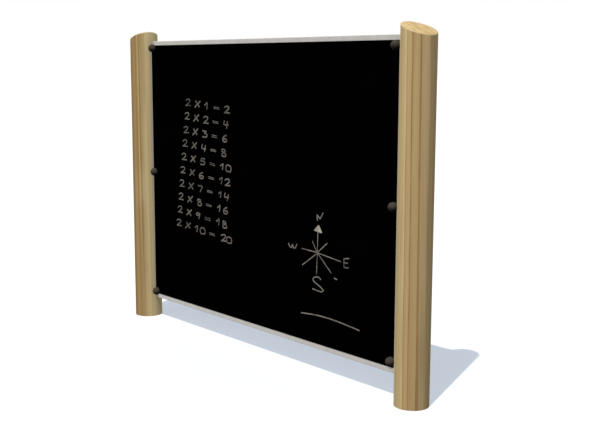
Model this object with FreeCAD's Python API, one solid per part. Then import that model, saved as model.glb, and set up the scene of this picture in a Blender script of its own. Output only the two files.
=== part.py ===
"""In-ground chalkboard sign: two round timber posts hold a writing board between them.

X runs along the board, Y from its front to its back and Z up. The origin lies on the ground line,
midway between the posts. Pieces are built for the left-hand end and mirrored for the right-hand one. The
ends differ in their bolts' heights and in the posts' slanted tops, where one is the other turned half round.
"""
import FreeCAD, Part
import math
import os

V = FreeCAD.Vector

# Posts
POST_DIAMETER = 122.0
POST_SPACING = 1670.0
POST_BURIED = 600.0
POST_RISE = 20.0
POST_SLANT_DEGREES = 20.5
POST_SLANT_TURN_DEGREES = 6.5
POST_TOP_ROUNDING = 5.0
POST_FOOT_CHAMFER = 6.0
LEVEL_MARK_WIDTH = 4.0
LEVEL_MARK_DEPTH = 1.5

# Board: a backing board with a smaller writing sheet on its front
BOARD_HEIGHT = 1156.0
BOARD_GROUND_GAP = 94.0
BOARD_CORNER_RADIUS = 20.0
BOARD_EDGE_ROUNDING = 2.5
BACKING_THICKNESS = 18.0
SHEET_THICKNESS = 1.2
SHEET_TOP_BORDER = 18.0
SHEET_BOTTOM_BORDER = 19.5
SHEET_END_BORDER = 13.5
SHEET_CORNER_RADIUS = 4.0
SHEET_EDGE_CHAMFER = 0.4

# Through bolts of the board, three at each end; the insets are from the sheet's edges
BOLT_DIAMETER = 10.0
BOLT_SIDE_INSET = 13.0
LEFT_BOLT_TOP_INSET = 12.5
LEFT_BOLT_BOTTOM_INSET = 10.5
RIGHT_BOLT_TOP_INSET = 17.5
RIGHT_BOLT_BOTTOM_INSET = 21.5
BOLT_HEAD_FLATS = 16.0
BOLT_HEAD_HEIGHT = 6.4
BOLT_TIP_CHAMFER = 1.0
NUT_WASHER_DIAMETER = 20.0
NUT_WASHER_THICKNESS = 2.0
NUT_FLATS = 17.0
NUT_HEX_HEIGHT = 8.0
NUT_DOME_NECK = 2.0
NUT_DOME_RADIUS = 8.0
NUT_ENGAGEMENT = 11.0

# Two-part bolt covers on the front
CAP_DIAMETER = 34.0
CAP_WALL = 2.4
CAP_SKIRT = 2.8
BASE_FLANGE = 2.5
BASE_RIM_ROUNDING = 0.6
SNAP_RING_WALL = 2.0
SNAP_RING_HEIGHT = 2.4
SNAP_BEAD = 0.5

# Bent steel brackets behind the board, and their coach screws
BRACKET_THICKNESS = 4.0
BRACKET_HEIGHT = 60.0
BRACKET_BEND_TO_BOLT = 19.0
BRACKET_BOLT_TO_END = 24.0
BRACKET_BEND_RADIUS = 6.0
BRACKET_CORNER_RADIUS = 8.0
BRACKET_SLOT_TRAVEL = 6.0
SEAT_DEPTH = 2.5
SCREW_DIAMETER = 8.0
SCREW_LENGTH = 60.0
SCREW_TIP = 8.0
SCREW_HEAD_FLATS = 13.0
SCREW_HEAD_HEIGHT = 5.5
SCREW_PITCH = 32.0
SCREW_WASHER_DIAMETER = 18.0
SCREW_WASHER_THICKNESS = 1.6

# Clearances
BOARD_POST_GAP = 3.0
BOLT_CLEARANCE = 0.5
THREAD_CLEARANCE = 0.1
SCREW_CLEARANCE = 0.5
PILOT_CLEARANCE = 0.1
PILOT_END_CLEARANCE = 4.0
SNAP_CLEARANCE = 0.2
SEAT_END_CLEARANCE = 1.0

# Turned-off corners of hexagon heads and nuts
HEXAGON_LAND_SHARE = 0.95
HEXAGON_CHAMFER_DEGREES = 30.0

# A tool runs this far past the surface that it cuts, and edges are found to within this distance
CUT_MARGIN = 5.0
SAME_PLACE = 1e-6

# Worked out from the driving dimensions
POST_RADIUS = POST_DIAMETER / 2
POST_X = POST_SPACING / 2
BOARD_TOP = BOARD_GROUND_GAP + BOARD_HEIGHT
BOARD_END = POST_X - POST_RADIUS - BOARD_POST_GAP
BOARD_THICKNESS = BACKING_THICKNESS + SHEET_THICKNESS
SHEET_FACE = -BOARD_THICKNESS / 2
BACKING_FACE = SHEET_FACE + SHEET_THICKNESS
BACKING_REAR = BOARD_THICKNESS / 2
SHEET_END = BOARD_END - SHEET_END_BORDER
SHEET_BOTTOM = BOARD_GROUND_GAP + SHEET_BOTTOM_BORDER
SHEET_TOP = BOARD_TOP - SHEET_TOP_BORDER
POST_TOP = BOARD_TOP + POST_RISE
POST_SLOPE = math.tan(math.radians(POST_SLANT_DEGREES))

BOLT_RADIUS = BOLT_DIAMETER / 2
BOLT_HOLE_RADIUS = BOLT_RADIUS + BOLT_CLEARANCE
BOLT_X = SHEET_END - BOLT_SIDE_INSET
BRACKET_REAR = BACKING_REAR + BRACKET_THICKNESS
NUT_SEAT = BRACKET_REAR + NUT_WASHER_THICKNESS
BOLT_SEAT = SHEET_FACE - BASE_FLANGE
BOLT_LENGTH = NUT_SEAT - BOLT_SEAT + NUT_ENGAGEMENT

CAP_RADIUS = CAP_DIAMETER / 2
CAP_BORE_RADIUS = CAP_RADIUS - CAP_WALL
SNAP_RING_RADIUS = CAP_BORE_RADIUS - SNAP_CLEARANCE
SNAP_BEAD_HEIGHT = BASE_FLANGE + SNAP_RING_HEIGHT / 2
DOME_BASE = BASE_FLANGE + CAP_SKIRT

# The bracket's seat on the post is a flat, square to the radius through its screws. Its angle is the
# one at which the plane of the flat passes through the bend at the board's rear face.
SEAT_RADIUS = POST_RADIUS - SEAT_DEPTH
SEAT_HALF_WIDTH = math.sqrt(POST_RADIUS ** 2 - SEAT_RADIUS ** 2)
BEND_U = POST_X - BOLT_X - BRACKET_BEND_TO_BOLT
BEND_ANGLE = math.atan2(BACKING_REAR, BEND_U)
SEAT_ANGLE = BEND_ANGLE + math.acos(SEAT_RADIUS / math.hypot(BEND_U, BACKING_REAR))
SEAT_NORMAL = V(math.cos(SEAT_ANGLE), math.sin(SEAT_ANGLE), 0)
SEAT_ALONG = V(-math.sin(SEAT_ANGLE), math.cos(SEAT_ANGLE), 0)
SCREW_RADIUS = SCREW_DIAMETER / 2
SCREW_HEIGHTS = (-SCREW_PITCH / 2, SCREW_PITCH / 2)

ORIGIN = V(0, 0, 0)
UP = V(0, 0, 1)
BACKWARDS = V(0, 1, 0)
FORWARDS = V(0, -1, 0)
LEFT_POST = V(-POST_X, 0, 0)


def bolt_heights(top_inset, bottom_inset):
    """The heights of one end's bolts: two so far inside the sheet's edges, and one midway between them."""
    top = SHEET_TOP - top_inset
    bottom = SHEET_BOTTOM + bottom_inset
    return {"top": top, "middle": (top + bottom) / 2, "bottom": bottom}


LEFT_HEIGHTS = bolt_heights(LEFT_BOLT_TOP_INSET, LEFT_BOLT_BOTTOM_INSET)
RIGHT_HEIGHTS = bolt_heights(RIGHT_BOLT_TOP_INSET, RIGHT_BOLT_BOTTOM_INSET)


def mirrored(shape):
    """The right-hand twin of a left-hand piece."""
    return shape.mirror(ORIGIN, V(1, 0, 0))


def placed(shape, point, direction):
    """A copy of a shape built along +Z, standing at a point and pointing along a direction."""
    copy = shape.copy()
    copy.Placement = FreeCAD.Placement(point, FreeCAD.Rotation(UP, direction))
    return copy


def turned(edges):
    """A solid of revolution about Z from the closed profile that the edges make in the XZ plane."""
    face = Part.Face(Part.Wire(edges))
    return face.revolve(ORIGIN, UP, 360)


def outline(points):
    """Straight edges from point to point and back to the first; a point is a radius and a height."""
    corners = [V(radius, 0, height) for radius, height in points]
    return [Part.LineSegment(a, b).toShape() for a, b in zip(corners, corners[1:] + corners[:1])]


def ring(outer, inner, height):
    """A plain washer standing on its lower face."""
    return Part.makeCylinder(outer, height).cut(Part.makeCylinder(inner, height))


def hexagon(flats, height):
    """A hexagonal prism of a given width across flats, with its upper corners turned off."""
    corner = flats / math.sqrt(3)
    land = HEXAGON_LAND_SHARE * flats / 2
    drop = (corner - land) * math.tan(math.radians(HEXAGON_CHAMFER_DEGREES))
    angles = [i * math.pi / 3 for i in range(7)]
    points = [V(corner * math.cos(angle), corner * math.sin(angle), 0) for angle in angles]
    prism = Part.Face(Part.makePolygon(points)).extrude(V(0, 0, height))
    turning = turned(outline([(0, 0), (corner, 0), (corner, height - drop), (land, height), (0, height)]))
    return prism.common(turning)


def slab(half_width, bottom, top, front, thickness, corner_radius):
    """An upright board with rounded corners, between two heights and behind a front face."""
    block = Part.makeBox(2 * half_width, thickness, top - bottom, V(-half_width, front, bottom))
    corners = [edge for edge in block.Edges if edge.BoundBox.YLength > thickness - SAME_PLACE]
    return block.makeFillet(corner_radius, corners)


def edges_at_depth(shape, y):
    """The edges that lie in an upright plane parallel to the board."""
    boxes = [(edge, edge.BoundBox) for edge in shape.Edges]
    return [edge for edge, box in boxes if max(abs(box.YMin - y), abs(box.YMax - y)) < SAME_PLACE]


def edges_over(shape, point):
    """The edges whose middles lie straight above or below a point."""
    middles = [(edge, edge.CenterOfMass - point) for edge in shape.Edges]
    return [edge for edge, offset in middles if math.hypot(offset.x, offset.y) < SAME_PLACE]


def bolt_points(heights):
    """The bolt axes at the left-hand end of the board, by name, at given heights."""
    return {name: V(-BOLT_X, 0, height) for name, height in heights.items()}


def drilled(board, front, rear):
    """A board with its six bolt holes."""
    hole = Part.makeCylinder(BOLT_HOLE_RADIUS, rear - front + 2 * CUT_MARGIN)
    for drill in along_bolts(hole, front - CUT_MARGIN, BACKWARDS).Solids:
        board = board.cut(drill)
    return board


def backing_board():
    """The thick pale board, rounded along its edges, that spans the space between the posts."""
    board = slab(BOARD_END, BOARD_GROUND_GAP, BOARD_TOP, BACKING_FACE, BACKING_THICKNESS, BOARD_CORNER_RADIUS)
    rims = edges_at_depth(board, BACKING_FACE) + edges_at_depth(board, BACKING_REAR)
    board = board.makeFillet(BOARD_EDGE_ROUNDING, rims)
    return drilled(board, BACKING_FACE, BACKING_REAR)


def writing_sheet():
    """The thin black sheet on the front, which leaves a pale border, narrower at the ends."""
    sheet = slab(SHEET_END, SHEET_BOTTOM, SHEET_TOP, SHEET_FACE, SHEET_THICKNESS, SHEET_CORNER_RADIUS)
    sheet = sheet.makeChamfer(SHEET_EDGE_CHAMFER, edges_at_depth(sheet, SHEET_FACE))
    return drilled(sheet, SHEET_FACE, BACKING_FACE)


def post_blank(turn):
    """A round log on the Z axis. Its slanted top falls outwards, turned so many degrees to the front."""
    reach = POST_DIAMETER
    crown = POST_TOP + reach * POST_SLOPE
    log = Part.makeCylinder(POST_RADIUS, crown + POST_BURIED, V(0, 0, -POST_BURIED))
    corners = [(-reach, POST_TOP - reach * POST_SLOPE), (reach, crown), (-reach, crown)]
    waste = Part.Face(Part.Wire(outline(corners))).extrude(V(0, 2 * reach, 0))
    waste.translate(V(0, -reach, 0))
    waste.rotate(ORIGIN, UP, turn)
    log = log.cut(waste)
    rim = [edge for edge in log.Edges if isinstance(edge.Curve, Part.Ellipse)]
    log = log.makeFillet(POST_TOP_ROUNDING, rim)
    foot = [edge for edge in log.Edges if edge.BoundBox.ZMax < -POST_BURIED + POST_FOOT_CHAMFER]
    return log.makeChamfer(POST_FOOT_CHAMFER, foot)


def level_mark():
    """A shallow groove just under the ground line, which shows how deep the post is set."""
    groove = ring(POST_RADIUS + CUT_MARGIN, POST_RADIUS - LEVEL_MARK_DEPTH, LEVEL_MARK_WIDTH)
    groove.translate(V(0, 0, -LEVEL_MARK_WIDTH))
    return groove


def bracket_seat(height):
    """What is milled and drilled out of a post, on the Z axis, for one bracket at a height."""
    tall = BRACKET_HEIGHT + 2 * SEAT_END_CLEARANCE
    corner = V(SEAT_RADIUS, -POST_RADIUS, height - tall / 2)
    flat = Part.makeBox(SEAT_DEPTH + CUT_MARGIN, POST_DIAMETER, tall, corner)
    flat.rotate(ORIGIN, UP, math.degrees(SEAT_ANGLE))
    depth = SCREW_LENGTH - BRACKET_THICKNESS - SCREW_WASHER_THICKNESS + PILOT_END_CLEARANCE
    for offset in SCREW_HEIGHTS:
        start = SEAT_NORMAL * SEAT_RADIUS + V(0, 0, height + offset)
        flat = flat.fuse(Part.makeCylinder(SCREW_RADIUS + PILOT_CLEARANCE, depth, start, -SEAT_NORMAL))
    return flat


def left_post(turn, heights):
    post = post_blank(turn).cut(level_mark())
    for height in heights.values():
        post = post.cut(bracket_seat(height))
    post.translate(LEFT_POST)
    return post


def seat_point(distance, out):
    """A point beside the post's axis: so far along the flat from its middle, and so far out from it."""
    return SEAT_NORMAL * (SEAT_RADIUS + out) + SEAT_ALONG * distance


def on_seat_line(y, out):
    """The point at a depth y on the line that runs along the flat, so far out from it."""
    distance = (y - (SEAT_RADIUS + out) * SEAT_NORMAL.y) / SEAT_ALONG.y
    return seat_point(distance, out)


def bracket_blank():
    """The bent bar beside a post on the Z axis: one leg behind the board, the other on the post's flat."""
    half = BRACKET_THICKNESS / 2
    reach = POST_X - BOLT_X + BRACKET_BOLT_TO_END
    bend = on_seat_line(BACKING_REAR, 0)
    inside = on_seat_line(BRACKET_REAR, BRACKET_THICKNESS)
    section = [
        bend,
        seat_point(SEAT_HALF_WIDTH, 0),
        seat_point(SEAT_HALF_WIDTH, BRACKET_THICKNESS),
        inside,
        V(reach, BRACKET_REAR, 0),
        V(reach, BACKING_REAR, 0),
        bend,
    ]
    bar = Part.Face(Part.makePolygon(section)).extrude(V(0, 0, BRACKET_HEIGHT))
    bar.translate(V(0, 0, -BRACKET_HEIGHT / 2))
    bar = bar.makeFillet(BRACKET_BEND_RADIUS, edges_over(bar, inside))
    bar = bar.makeFillet(BRACKET_BEND_RADIUS + BRACKET_THICKNESS, edges_over(bar, bend))
    post_end = edges_over(bar, seat_point(SEAT_HALF_WIDTH, half))
    board_end = edges_over(bar, V(reach, BACKING_REAR + half, 0))
    return bar.makeFillet(BRACKET_CORNER_RADIUS, post_end + board_end)


def bolt_slot():
    """The slot in the bracket's board leg, along the board, in which the bolt can be set."""
    half = BRACKET_SLOT_TRAVEL / 2
    centre = V(POST_X - BOLT_X, BACKING_REAR - CUT_MARGIN, 0)
    length = BRACKET_THICKNESS + 2 * CUT_MARGIN
    slot = Part.makeBox(2 * half, length, 2 * BOLT_HOLE_RADIUS, centre - V(half, 0, BOLT_HOLE_RADIUS))
    for x in (-half, half):
        slot = slot.fuse(Part.makeCylinder(BOLT_HOLE_RADIUS, length, centre + V(x, 0, 0), BACKWARDS))
    return slot


def left_bracket(height):
    bracket = bracket_blank().cut(bolt_slot())
    for offset in SCREW_HEIGHTS:
        start = seat_point(0, -CUT_MARGIN) + V(0, 0, offset)
        length = BRACKET_THICKNESS + 2 * CUT_MARGIN
        bracket = bracket.cut(Part.makeCylinder(SCREW_RADIUS + SCREW_CLEARANCE, length, start, SEAT_NORMAL))
    bracket.translate(LEFT_POST + V(0, 0, height))
    return bracket


def cap_base():
    """The cover's base: a flange that the bolt head clamps, and a ring with a bead that the cap snaps on."""
    top = BASE_FLANGE + SNAP_RING_HEIGHT
    inner = SNAP_RING_RADIUS - SNAP_RING_WALL
    base = turned(outline([
        (BOLT_HOLE_RADIUS, 0),
        (CAP_RADIUS, 0),
        (CAP_RADIUS, BASE_FLANGE),
        (SNAP_RING_RADIUS, BASE_FLANGE),
        (SNAP_RING_RADIUS, SNAP_BEAD_HEIGHT - SNAP_BEAD),
        (SNAP_RING_RADIUS + SNAP_BEAD, SNAP_BEAD_HEIGHT),
        (SNAP_RING_RADIUS, SNAP_BEAD_HEIGHT + SNAP_BEAD),
        (SNAP_RING_RADIUS, top),
        (inner, top),
        (inner, BASE_FLANGE),
        (BOLT_HOLE_RADIUS, BASE_FLANGE),
    ]))
    widest = [edge for edge in base.Edges if edge.BoundBox.XMax > CAP_RADIUS - SAME_PLACE]
    rim = [edge for edge in widest if edge.BoundBox.ZMin > BASE_FLANGE - SAME_PLACE]
    return base.makeFillet(BASE_RIM_ROUNDING, rim)


def dome_arc(radius):
    """A quarter circle from the skirt's upper edge to the crown of a dome."""
    diagonal = radius * math.sqrt(0.5)
    middle = V(diagonal, 0, DOME_BASE + diagonal)
    return Part.Arc(V(radius, 0, DOME_BASE), middle, V(0, 0, DOME_BASE + radius)).toShape()


def snap_cap():
    """The hollow round cap, with a groove inside its skirt for the base's bead."""
    bore = CAP_BORE_RADIUS
    walk = [
        (bore, DOME_BASE),
        (bore, SNAP_BEAD_HEIGHT + SNAP_BEAD),
        (bore + SNAP_BEAD, SNAP_BEAD_HEIGHT),
        (bore, SNAP_BEAD_HEIGHT - SNAP_BEAD),
        (bore, BASE_FLANGE),
        (CAP_RADIUS, BASE_FLANGE),
        (CAP_RADIUS, DOME_BASE),
    ]
    corners = [V(radius, 0, height) for radius, height in walk]
    skirt = [Part.LineSegment(a, b).toShape() for a, b in zip(corners, corners[1:])]
    crown = Part.LineSegment(V(0, 0, DOME_BASE + CAP_RADIUS), V(0, 0, DOME_BASE + bore)).toShape()
    return turned(skirt + [dome_arc(CAP_RADIUS), crown, dome_arc(bore)])


def board_bolt():
    """A hexagon bolt, its head above Z = 0 and its shank below."""
    shank = turned(outline([
        (0, 0),
        (BOLT_RADIUS, 0),
        (BOLT_RADIUS, BOLT_TIP_CHAMFER - BOLT_LENGTH),
        (BOLT_RADIUS - BOLT_TIP_CHAMFER, -BOLT_LENGTH),
        (0, -BOLT_LENGTH),
    ]))
    return hexagon(BOLT_HEAD_FLATS, BOLT_HEAD_HEIGHT).fuse(shank).removeSplitter()


def dome_nut():
    """A closed nut: a hexagon with a round dome over the bolt's end."""
    bore_depth = NUT_ENGAGEMENT + BOLT_CLEARANCE
    centre = NUT_HEX_HEIGHT + NUT_DOME_NECK
    diagonal = NUT_DOME_RADIUS * math.sqrt(0.5)
    dome = turned([
        Part.LineSegment(V(0, 0, 0), V(NUT_DOME_RADIUS, 0, 0)).toShape(),
        Part.LineSegment(V(NUT_DOME_RADIUS, 0, 0), V(NUT_DOME_RADIUS, 0, centre)).toShape(),
        Part.Arc(V(NUT_DOME_RADIUS, 0, centre), V(diagonal, 0, centre + diagonal),
                 V(0, 0, centre + NUT_DOME_RADIUS)).toShape(),
        Part.LineSegment(V(0, 0, centre + NUT_DOME_RADIUS), V(0, 0, 0)).toShape(),
    ])
    nut = hexagon(NUT_FLATS, NUT_HEX_HEIGHT).fuse(dome).removeSplitter()
    return nut.cut(Part.makeCylinder(BOLT_RADIUS + THREAD_CLEARANCE, bore_depth))


def coach_screw():
    """A hexagon wood screw, its head above Z = 0 and its pointed shank below."""
    shank = turned(outline([
        (0, 0),
        (SCREW_RADIUS, 0),
        (SCREW_RADIUS, SCREW_TIP - SCREW_LENGTH),
        (0, -SCREW_LENGTH),
    ]))
    return hexagon(SCREW_HEAD_FLATS, SCREW_HEAD_HEIGHT).fuse(shank).removeSplitter()


def both_ends(copies):
    """One group of separate solids from what a function makes for the left-hand end at given heights."""
    return Part.makeCompound(copies(LEFT_HEIGHTS) + [mirrored(shape) for shape in copies(RIGHT_HEIGHTS)])


def along_bolts(shape, y, direction):
    """One copy of a fastener on each bolt axis, at a depth y and pointing along a direction."""
    def copies(heights):
        return [placed(shape, point + V(0, y, 0), direction) for point in bolt_points(heights).values()]

    return both_ends(copies)


def on_seats(shape, out):
    """One copy of a fastener on each coach screw axis, so far out from the flats on the posts."""
    def copies(heights):
        levels = [height + offset for height in heights.values() for offset in SCREW_HEIGHTS]
        points = [LEFT_POST + seat_point(0, out) + V(0, 0, level) for level in levels]
        return [placed(shape, point, SEAT_NORMAL) for point in points]

    return both_ends(copies)


def end_pieces(turn, heights):
    """The post, brackets and bolt covers of the left-hand end, by name."""
    pieces = {"post": left_post(turn, heights)}
    base = cap_base()
    cap = snap_cap()
    for name, point in bolt_points(heights).items():
        seat = point + V(0, SHEET_FACE, 0)
        pieces[name + "_bracket"] = left_bracket(point.z)
        pieces[name + "_cap_base"] = placed(base, seat, FORWARDS)
        pieces[name + "_snap_cap"] = placed(cap, seat, FORWARDS)
    return pieces


def build():
    """Every node of the sign, by name."""
    nodes = {"backing_board": backing_board(), "writing_sheet": writing_sheet()}
    for name, shape in end_pieces(-POST_SLANT_TURN_DEGREES, LEFT_HEIGHTS).items():
        nodes["left_" + name] = shape
    for name, shape in end_pieces(POST_SLANT_TURN_DEGREES, RIGHT_HEIGHTS).items():
        nodes["right_" + name] = mirrored(shape)
    screw_seat = BRACKET_THICKNESS + SCREW_WASHER_THICKNESS
    nut_washer = ring(NUT_WASHER_DIAMETER / 2, BOLT_HOLE_RADIUS, NUT_WASHER_THICKNESS)
    screw_washer = ring(SCREW_WASHER_DIAMETER / 2, SCREW_RADIUS + SCREW_CLEARANCE, SCREW_WASHER_THICKNESS)
    nodes["board_bolts"] = along_bolts(board_bolt(), BOLT_SEAT, FORWARDS)
    nodes["nut_washers"] = along_bolts(nut_washer, BRACKET_REAR, BACKWARDS)
    nodes["dome_nuts"] = along_bolts(dome_nut(), NUT_SEAT, BACKWARDS)
    nodes["coach_screw_washers"] = on_seats(screw_washer, BRACKET_THICKNESS)
    nodes["coach_screws"] = on_seats(coach_screw(), screw_seat)
    return nodes


def main():
    os.makedirs("parts", exist_ok=True)
    for name, shape in build().items():
        shape.exportStep("parts/" + name + ".step")
        volumes = [solid.Volume for solid in shape.Solids]
        print(name, "solids", len(volumes), "valid", shape.isValid(), "volume", round(sum(volumes)))


main()
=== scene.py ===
"""Looks of an in-ground chalkboard sign: timber posts, pale board, black sheet, chalk and bolt covers.

Lengths are in metres. X runs along the board, Y from its front to its back and Z up from the ground line.
"""
import math
import random
from typing import NamedTuple

import bpy
from mathutils import Matrix, Vector


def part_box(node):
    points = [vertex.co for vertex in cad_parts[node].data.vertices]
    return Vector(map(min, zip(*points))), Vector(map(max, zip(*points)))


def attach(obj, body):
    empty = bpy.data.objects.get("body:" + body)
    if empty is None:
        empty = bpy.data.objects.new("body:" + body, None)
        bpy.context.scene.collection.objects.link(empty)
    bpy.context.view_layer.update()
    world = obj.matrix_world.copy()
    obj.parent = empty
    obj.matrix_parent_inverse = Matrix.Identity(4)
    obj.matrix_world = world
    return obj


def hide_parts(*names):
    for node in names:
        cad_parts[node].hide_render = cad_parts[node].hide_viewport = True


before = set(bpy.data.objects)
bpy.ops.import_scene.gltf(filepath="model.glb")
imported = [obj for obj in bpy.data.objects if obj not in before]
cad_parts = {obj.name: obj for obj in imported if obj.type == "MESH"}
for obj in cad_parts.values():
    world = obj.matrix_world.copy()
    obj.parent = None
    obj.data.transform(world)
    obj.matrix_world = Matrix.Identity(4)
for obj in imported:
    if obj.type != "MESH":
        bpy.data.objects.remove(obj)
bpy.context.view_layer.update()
BODY = "root"
SIDES = ("left", "right")
LEVELS = ("top", "middle", "bottom")
PLACES = [side + "_" + level for side in SIDES for level in LEVELS]

# Posts
POST_LOW, POST_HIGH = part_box("right_post")
POST_X = (POST_LOW.x + POST_HIGH.x) / 2
POST_RADIUS = (POST_HIGH.x - POST_LOW.x) / 2
POST_AXIS_HEIGHT = 1.270
POST_SLOPE = math.tan(math.radians(20.5))
POST_SLANT_TURN = math.radians(6.5)
POST_FACETS = 128
POST_TOP_ROUNDING = 0.005
POST_TOP_SEGMENTS = 5
POST_FOOT_CHAMFER = 0.006
POST_FOOT_SEGMENTS = 1
LEVEL_MARK_WIDTH = 0.004
LEVEL_MARK_DEPTH = 0.0015

# Board
SHEET_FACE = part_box("writing_sheet")[0].y
BOARD_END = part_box("backing_board")[1].x
BOARD_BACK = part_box("backing_board")[1].y

# Round tops of the bolt covers and dome nuts, as angles from 0 to a quarter turn
DOME_STEPS = 12
QUARTER_TURN = [math.pi / 2 * step / DOME_STEPS for step in range(DOME_STEPS + 1)]

# Bolt covers
COVER_LOW, COVER_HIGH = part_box("left_top_snap_cap")
COVER_RADIUS = (COVER_HIGH.x - COVER_LOW.x) / 2
COVER_CENTRE = (COVER_LOW + COVER_HIGH) / 2
COVER_FACETS = 64
COVER_WALL = 0.0024
COVER_SEAM = 0.0003
FLANGE_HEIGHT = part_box("left_top_cap_base")[1].y - COVER_HIGH.y
FLANGE_ROUNDING = 0.0006
FLANGE_ROUNDING_OUT = FLANGE_ROUNDING / 2
FLANGE_ROUNDING_DOWN = FLANGE_ROUNDING / 6
BOLT_HOLE_RADIUS = 0.0055
SNAP_RING_OUTER = 0.0144
SNAP_RING_INNER = 0.0124
SNAP_RING_TOP = 0.0049

# Flats on the posts, which face the bend of the brackets
SEAT_DEPTH = 0.0025
SEAT_HEIGHT = 0.062
SEAT_RADIUS = POST_RADIUS - SEAT_DEPTH
SEAT_CUTTER_SIZE = (4 * SEAT_DEPTH, 2 * POST_RADIUS, SEAT_HEIGHT)
BOLT_TO_BEND = 0.019
BEND_REACH = POST_X + COVER_CENTRE.x - BOLT_TO_BEND
BEND_ANGLE = math.atan2(BOARD_BACK, BEND_REACH)
SEAT_ANGLE = BEND_ANGLE + math.acos(SEAT_RADIUS / math.hypot(BEND_REACH, BOARD_BACK))

# Dome nuts behind the brackets
NUT_LOW, NUT_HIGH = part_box("dome_nuts")
NUT_HEIGHT = NUT_HIGH.y - NUT_LOW.y
NUT_SIDES = 6
NUT_FLATS = 0.017
NUT_CORNER = NUT_FLATS / math.sqrt(3)
NUT_LAND_SHARE = 0.95
NUT_LAND = NUT_LAND_SHARE * NUT_FLATS / 2
NUT_CHAMFER_ANGLE = math.radians(30)
NUT_CHAMFER = (NUT_CORNER - NUT_LAND) * math.tan(NUT_CHAMFER_ANGLE)
NUT_HEX_HEIGHT = 0.008
NUT_DOME_RADIUS = 0.008
NUT_BORE_RADIUS = 0.0051
NUT_BORE_DEPTH = 0.0115
NUT_FACETS = 48

# Chalk strokes
CHALK_WIDTH = 0.005
CHALK_PROUD = 0.0003
CHALK_SEED = 7
CHALK_WOBBLE = 0.0012
CHALK_EDGE_STEPS = 1
CHALK_CURVE_STEPS = 4
CHALK_CURVE_ORDER = 3
GLYPH_WIDTH = 0.037
GLYPH_HEIGHT = 0.026

# The times table, in distances along the board and heights; each word of a line has its own weight
TABLE_START = Vector((-0.477, 0.990))
TABLE_LINE_STEP = Vector((-0.009, -0.0585))
TABLE_TILT = -0.078
TABLE_PITCH = 0.069
TABLE_DIGIT_PITCH = 0.040
TABLE_RESULT_DRIFT = 0.0013
TABLE_LINES = 10
TABLE_WEIGHTS = (1.05, 1.45, 1.3, 0.7, 1.3)
TABLE_FACTOR = 2

# Tolerances of the modelling, and the corners that are shaded as smooth
ON_EDGE = 1e-5
MERGE_DISTANCE = 1e-6
SMOOTH_BELOW = math.radians(35)
TURNED_SMOOTH_BELOW = math.radians(40)

# Camera, fitted to the photo's edges; pixels are of an image 600 wide
IMAGE_WIDTH = 600
CAMERA_PLACE = Vector((3.1367, -2.4743, 1.1578))
CAMERA_YAW = math.radians(50.857)
CAMERA_PITCH = math.radians(8.842)
CAMERA_FOCUS_PIXELS = 1019.14
CAMERA_AXIS_OFFSET_PIXELS = 25.0
SENSOR_WIDTH = 36.0

# Light
LAMP_DISTANCE = 5
SUN_DIRECTION = Vector((0.205, -0.432, 0.878))
SUN_STRENGTH = 3.0
SUN_ANGLE = math.radians(0.5)
SUN_COLOUR = (1.0, 0.965, 0.91)
FILL_DIRECTION = Vector((0.1, -0.93, 0.35))
FILL_STRENGTH = 0.75
FILL_ANGLE = math.radians(110)
FILL_COLOUR = (1.0, 0.985, 0.96)
BACK_DIRECTION = Vector((-0.5, 0.8, 0.3))
BACK_STRENGTH = 0.9
BACK_ANGLE = math.radians(110)
BACK_COLOUR = (1.0, 0.99, 0.98)
WHITE = (1, 1, 1, 1)
SKY_COLOUR = (0.76, 0.87, 1.0, 1)
SKY_STRENGTH = 0.27
FLOOR_SIZE = 120.0
FLOOR_BOUNCE = (0.3, 0.3, 0.3, 1)
FLOOR_GLOW = (0.815, 0.92, 1.078, 1)
FLOOR_SHADE_SHARE = 0.6


# Materials

# Sockets of a Mix node that blends colours
MIX_FACTOR = 0
MIX_FIRST = 6
MIX_SECOND = 7
MIX_RESULT = 2


class Grain(NamedTuple):
    """A noise pattern: how fine it is, its layers of finer noise, their weight, and how far it is squeezed
    along each axis."""

    scale: float
    detail: float = 2.0
    roughness: float = 0.5
    squeeze: tuple = ()


class Relief(NamedTuple):
    """How deep a bump is and how strongly it shows."""

    depth: float
    strength: float


def srgb(red, green, blue):
    """A colour read off a screen, 0 to 255, as the linear colour that a shader takes, by the sRGB curve."""
    channels = []
    for value in (red, green, blue):
        share = value / 255
        channels.append(share / 12.92 if share <= 0.04045 else ((share + 0.055) / 1.055) ** 2.4)
    return (*channels, 1.0)


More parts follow.
